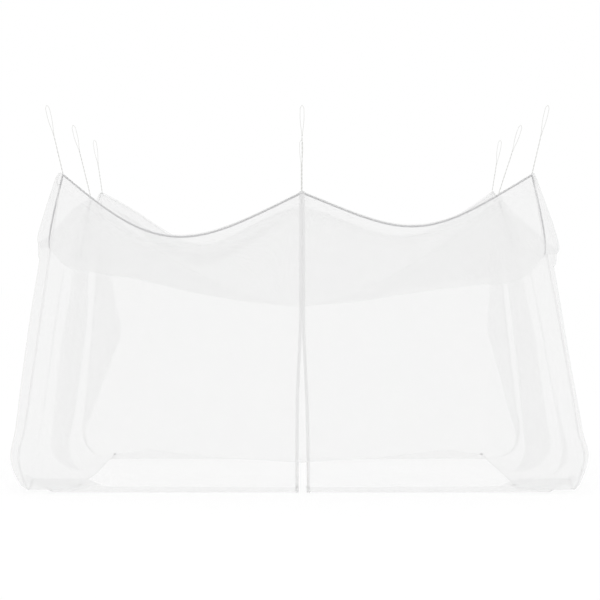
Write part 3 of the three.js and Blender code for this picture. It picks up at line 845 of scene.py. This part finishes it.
def cord_route(place, diameter):
    """A cord's route: straight up from the tape to the knot, then once round a long narrow loop, which ends
    beside the start at the knot. Returns the route, the knot, and three directions: the normal of the
    loop's plane, up the cord, and sideways in that plane."""
    station = {name: values[place] for name, values in STATION.items()}
    top = np.array((station["hook_x"], station["hook_y"], station["hook_z"] - diameter / 2))
    start = np.array((station["x"], station["y"], station["z"] + CORD_START))
    way = unit(top - start)
    start[2] += diameter / 2 * math.hypot(way[0], way[1])
    side = unit(np.array((1.0, 0, 0)) - way * way[0])
    knot = top - way * LOOP_LENGTH
    loop = knot + way * LOOP_ROUTE[:, :1] * LOOP_LENGTH + side * LOOP_ROUTE[:, 1:] * LOOP_WIDTH / 2
    control = np.concatenate([[start, lerp(start, knot, 0.5), lerp(start, knot, 0.9)], loop])
    knots = distance_along(control)
    at = np.linspace(0, knots[-1], int(knots[-1] / CORD_GRID))
    ground = np.array((0, 0, GROUND))
    return through(knots, at) @ control + ground, knot + ground, np.cross(way, side), way, side


def knot_route(knot, normal, way, side):
    """The turns of a small knot: an ellipse that climbs along the cord."""
    turn = np.linspace(0, KNOT_TURNS * TAU, KNOT_POINTS)[:, None]
    rise = np.linspace(-KNOT_HEIGHT / 2, KNOT_HEIGHT / 2, KNOT_POINTS)[:, None]
    return knot + side * (np.cos(turn) * KNOT_WIDE) + normal * (np.sin(turn) * KNOT_DEEP) + way * rise


class NET_OT_cords(Operator):
    """Makes the eight cords, each with its tied loop"""

    bl_idname = "net.make_cords"
    bl_label = "Cords"

    def execute(self, context):
        settings = context.scene.net_settings
        diameter = settings.cord_diameter
        finish = cord_finish("cord", settings.cord_colour)
        for place, name in enumerate(STATION_ROWS):
            middle, knot, normal, way, side = cord_route(place, diameter)
            gone = distance_along(middle)
            below = float(np.linalg.norm(knot - middle[0]))
            turn = TAU * gone / WIND_PITCH
            wound = side * np.cos(turn)[:, None] + normal * np.sin(turn)[:, None]
            wound *= (diameter * STRAND_AWAY * np.clip((below - gone) / STRAND_JOIN, 0, 1))[:, None]
            route = middle + wound
            cord = laid_cord(f"hanging_cord_{name}", route, diameter / 2, normal, finish)
            back = (middle - wound)[gone <= below]
            second = laid_cord(f"hanging_cord_return_{name}", back, diameter / 2, normal, finish)
            turns = knot_route(knot, normal, way, side)
            tie = laid_cord(f"loop_knot_{name}", turns, diameter * KNOT_CORD, way, finish, sides=10)
            for piece in (cord, second, tie):
                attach(piece, "root")
            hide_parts(f"cord_{name}")
        return {"FINISHED"}


def panel_places(panel, spacing):
    """Places of a panel's upright lines, evenly spaced along its tape, and how far along it they are."""
    first, last = PANELS[panel]
    fine = np.linspace(first, last, 400)
    length = distance_along(tape_line(np.clip(fine, first + 1e-9, last - 1e-9)))
    even = np.linspace(0, length[-1], int(length[-1] / spacing) + 1)
    return np.interp(even, length, fine), even


class NET_OT_walls(Operator):
    """Makes the five wall panels and their hems"""

    bl_idname = "net.make_walls"
    bl_label = "Walls"

    def execute(self, context):
        settings = context.scene.net_settings
        finish = net_finish("net", settings)
        for panel, (first, last) in PANELS.items():
            place, width = panel_places(panel, settings.cloth_grid)
            points, down = wall_surface(place, panel, settings.cloth_grid, settings.hem_width)
            uv = np.stack(np.broadcast_arrays(width[:, None], down[None, :]), axis=-1)
            wall = cloth_sheet(f"net_wall_{panel}", points, uv, finish)
            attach(wall, "root")
            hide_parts(f"wall_{panel}")
        return {"FINISHED"}


def ring_place(a, b):
    """The place on the ring of a point on the edge of the square from -1 to 1 in both directions."""
    edge = 1 - 1e-12
    return np.select([b <= -edge, a >= edge, b >= edge], [1 + a, 3 + b, 5 - a], 7 - b)


def roof_surface(half):
    """The roof on a square grid: rings shaped like the tape that shrink towards the lowest point. The
    height falls by the table of rises, blended round the ring by a squared sine in each scallop."""
    line = np.linspace(-1, 1, 2 * half + 1)
    a, b = np.meshgrid(line, line, indexing="ij")
    reach = np.maximum(np.maximum(np.abs(a), np.abs(b)), 1e-9)
    place = ring_place(a / reach, b / reach)
    edge = tape_line(place.ravel()) - outward(place.ravel()) * (TAPE_THICKNESS / 2 + SEAM_GAP)
    edge = edge.reshape(*a.shape, 3)
    share = place - np.floor(place)
    side = np.minimum((np.mod(place, COUNT) / 2).astype(int), 3)
    rises = through(ROOF_RISE[:, 0], reach.ravel()) @ ROOF_RISE[:, 1:]
    cord = rises[:, 0].reshape(a.shape)
    middle = np.take_along_axis(rises[:, 1:], side.reshape(-1, 1), axis=1).reshape(a.shape)
    rise = lerp(cord, middle, np.sin(np.pi * share) ** 2)
    points = lerp(ROOF_LOW, edge, reach[..., None])
    points[..., 2] = lerp(ROOF_LOW[2], edge[..., 2], rise)
    return points, np.stack([a, b], axis=-1) * ROOF_CUT / 2


class NET_OT_roof(Operator):
    """Makes the sagging roof sheet"""

    bl_idname = "net.make_roof"
    bl_label = "Roof"

    def execute(self, context):
        settings = context.scene.net_settings
        points, uv = roof_surface(int(ROOF_HALF / settings.cloth_grid))
        finish = net_finish("roof net", settings)
        roof = cloth_sheet("net_roof", points[:, ::-1], uv[:, ::-1], finish)
        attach(roof, "root")
        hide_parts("roof")
        return {"FINISHED"}


class NET_OT_tapes(Operator):
    """Makes the tape along the top: white inside, and grey outside as painted shade"""

    bl_idname = "net.make_tapes"
    bl_label = "Tapes"

    def execute(self, context):
        settings = context.scene.net_settings
        # The outer side's grey is painted shade. The inner side has the tape's own white.
        outer = woven_finish("tape outside painted shade", settings.tape_shade_colour)
        inner = woven_finish("tape inside", TAPE_INSIDE)
        for panel in PANELS:
            place, _ = panel_places(panel, TAPE_GRID)
            line, out = tape_line(place), outward(place)
            line[0] += unit(line[1] - line[0]) * SEAM_GAP
            line[-1] += unit(line[-2] - line[-1]) * SEAM_GAP
            up = unit(np.cross(np.gradient(line, axis=0), -out)) * np.linalg.norm(out, axis=1)[:, None]
            lean, rise = math.sin(settings.tape_tilt), math.cos(settings.tape_tilt)
            tape = ribbon(
                f"top_tape_{panel}", line, up * rise + out * lean, out * rise - up * lean,
                settings.tape_width, TAPE_THICKNESS, [outer, inner],
            )
            tape["sewn_to"] = panel
            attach(tape, "root")
            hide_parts(f"tape_{panel}")
        return {"FINISHED"}


def edge_strip(name, panel, at_start, width, thickness, finish, away, length=None):
    """A flat strip along an upright edge of a panel, from just below the tape to the hem, or only the last
    length of it. away is how far it lies from the cloth, outwards, and below zero inwards."""
    edge, toward = (PANELS[panel][0], 1) if at_start else (PANELS[panel][1], -1)
    span = STATION["x"][FRONT_RIGHT] - STATION["x"][OPENING]
    places = np.array([edge, edge + toward * width / span], dtype=float)
    points, down = wall_surface(places, panel, STRIP_GRID)
    points = points[:, down > (down[-1] - length if length else STRIP_START)]
    across = unit(points[0] - points[1])
    way = unit(np.gradient(points.mean(axis=0), axis=0))
    out = unit(np.cross(across, way)) * toward
    middle = points[0] - across * width / 2 + out * (away + np.sign(away) * thickness / 2)
    strip = ribbon(name, middle, across, out, width, thickness, [finish])
    strip["sewn_to"] = panel
    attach(strip, "root")
    return strip


class NET_OT_bindings(Operator):
    """Makes the binding along each edge of the opening, with its folded end at the hem"""

    bl_idname = "net.make_bindings"
    bl_label = "Bindings"

    def execute(self, context):
        settings = context.scene.net_settings
        finish = woven_finish("binding", settings.binding_colour, BINDING_OPACITY)
        end_finish = woven_finish("binding end", settings.end_colour)
        width, length = settings.binding_width, settings.end_length
        for panel in EDGES:
            start = panel == "front_right"
            strip = edge_strip(
                f"opening_binding_{panel}", panel, start, width, BINDING_THICKNESS, finish, BINDING_AWAY,
            )
            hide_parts(f"binding_{panel}")
            edge_strip(
                f"binding_end_{panel}", panel, start, width, END_THICKNESS, end_finish, BINDING_END_AWAY,
                length,
            )
        return {"FINISHED"}


class NET_OT_seams(Operator):
    """Makes the sewn seam down each corner, with its bulky end at the hem"""

    bl_idname = "net.make_seams"
    bl_label = "Seams"

    def execute(self, context):
        settings = context.scene.net_settings
        finish = woven_finish("seam", settings.binding_colour, SEAM_OPACITY)
        end_finish = woven_finish("seam end", settings.end_colour)
        width, length = settings.seam_width, settings.end_length
        for corner, panel, start in CORNERS:
            edge_strip(f"corner_seam_{corner}", panel, start, width, SEAM_THICKNESS, finish, SEAM_AWAY)
            edge_strip(
                f"seam_end_{corner}", panel, start, width, END_THICKNESS, end_finish, SEAM_END_AWAY, length,
            )
        return {"FINISHED"}


def place_camera(scene):
    """The camera in front of the net, level, and shifted so that the net sits as in the picture."""
    lens = bpy.data.cameras.new("camera")
    lens.lens, lens.sensor_width = CAMERA_LENS, CAMERA_SENSOR
    lens.shift_x, lens.shift_y = CAMERA_SHIFT_X, CAMERA_SHIFT_Y
    camera = bpy.data.objects.new("camera", lens)
    camera.location = CAMERA_PLACE
    camera.rotation_euler = (math.pi / 2, 0, 0)
    scene.collection.objects.link(camera)
    scene.camera = camera


def light_from_all_round(scene, strength):
    """Even white light, which is also the white behind the net."""
    world = bpy.data.worlds.new("studio")
    world.use_nodes = True
    world.node_tree.nodes["Background"].inputs["Color"].default_value = (1, 1, 1, 1)
    world.node_tree.nodes["Background"].inputs["Strength"].default_value = strength
    scene.world = world


def floor_finish(base):
    """A pale floor that glows a little, so that it runs into the white behind it."""
    finish = Finish("floor")
    places = finish.add("ShaderNodeTexCoord", {}, {}, output=3)
    grain = finish.noise(places, FLOOR_SCALE, detail=2.0)
    tone = finish.mix(grain, colour(base, 0.995), colour(base))
    return finish.made_with(
        base_color=tone,
        roughness=0.9,
        specular_ior_level=0.0,
        emission_color=FLOOR_GLOW,
        emission_strength=1.0,
    )


def lay_floor(material):
    """A round floor from rings of points, just below the ground that the cloth lies on."""
    angle = TAU * np.arange(FLOOR_SIDES + 1) / FLOOR_SIDES
    x, y = np.outer(np.cos(angle), FLOOR_RINGS), np.outer(np.sin(angle), FLOOR_RINGS)
    points = np.stack([x, y, 0 * x + GROUND - FLOOR_DROP], axis=-1)
    faces = grid_faces(len(angle), len(FLOOR_RINGS))
    return new_object("floor", points.reshape(-1, 3), faces, [material])


def place_lamp(scene, name, place, size, power):
    """A round lamp that points at the middle of the net."""
    lamp = bpy.data.lights.new(name, "AREA")
    lamp.shape, lamp.size, lamp.energy = "DISK", size, power
    light = bpy.data.objects.new(name, lamp)
    light.location = place
    x, y, z = LAMP_AIM - np.array(place)
    light.rotation_euler = (math.atan2(math.hypot(x, y), -z), 0, math.atan2(x, -y) + math.pi)
    scene.collection.objects.link(light)


class NET_OT_stage(Operator):
    """Makes the floor, the lights and the camera"""

    bl_idname = "net.make_stage"
    bl_label = "Stage"

    def execute(self, context):
        scene, settings = context.scene, context.scene.net_settings
        scene.view_settings.view_transform = "Standard"
        scene.cycles.transparent_max_bounces = NET_BOUNCES
        place_camera(scene)
        light_from_all_round(scene, settings.light)
        floor = lay_floor(floor_finish(settings.floor_colour))
        for name, place, size, power in LAMPS:
            place_lamp(scene, name, place, size, power)
        return {"FINISHED"}


class NET_PT_panel(Panel):
    """Sidebar panel with the net's settings and pieces"""

    bl_label = "Mosquito net"
    bl_space_type = "VIEW_3D"
    bl_region_type = "UI"
    bl_category = "Net"

    def draw(self, context):
        settings = context.scene.net_settings
        for name in settings.__annotations__:
            self.layout.prop(settings, name)
        for operator in OPERATORS:
            self.layout.operator(operator.bl_idname)


OPERATORS = (
    NET_OT_stage,
    NET_OT_cords,
    NET_OT_roof,
    NET_OT_tapes,
    NET_OT_bindings,
    NET_OT_seams,
    NET_OT_walls,
)
CLASSES = (NetSettings, *OPERATORS, NET_PT_panel)


def register():
    for made in CLASSES:
        bpy.utils.register_class(made)
    bpy.types.Scene.net_settings = PointerProperty(type=NetSettings)


def unregister():
    del bpy.types.Scene.net_settings
    for made in reversed(CLASSES):
        bpy.utils.unregister_class(made)


def main():
    register()
    bpy.ops.net.make_stage()
    bpy.ops.net.make_cords()
    bpy.ops.net.make_roof()
    bpy.ops.net.make_tapes()
    bpy.ops.net.make_bindings()
    bpy.ops.net.make_seams()
    bpy.ops.net.make_walls()


if __name__ == "__main__":
    main()
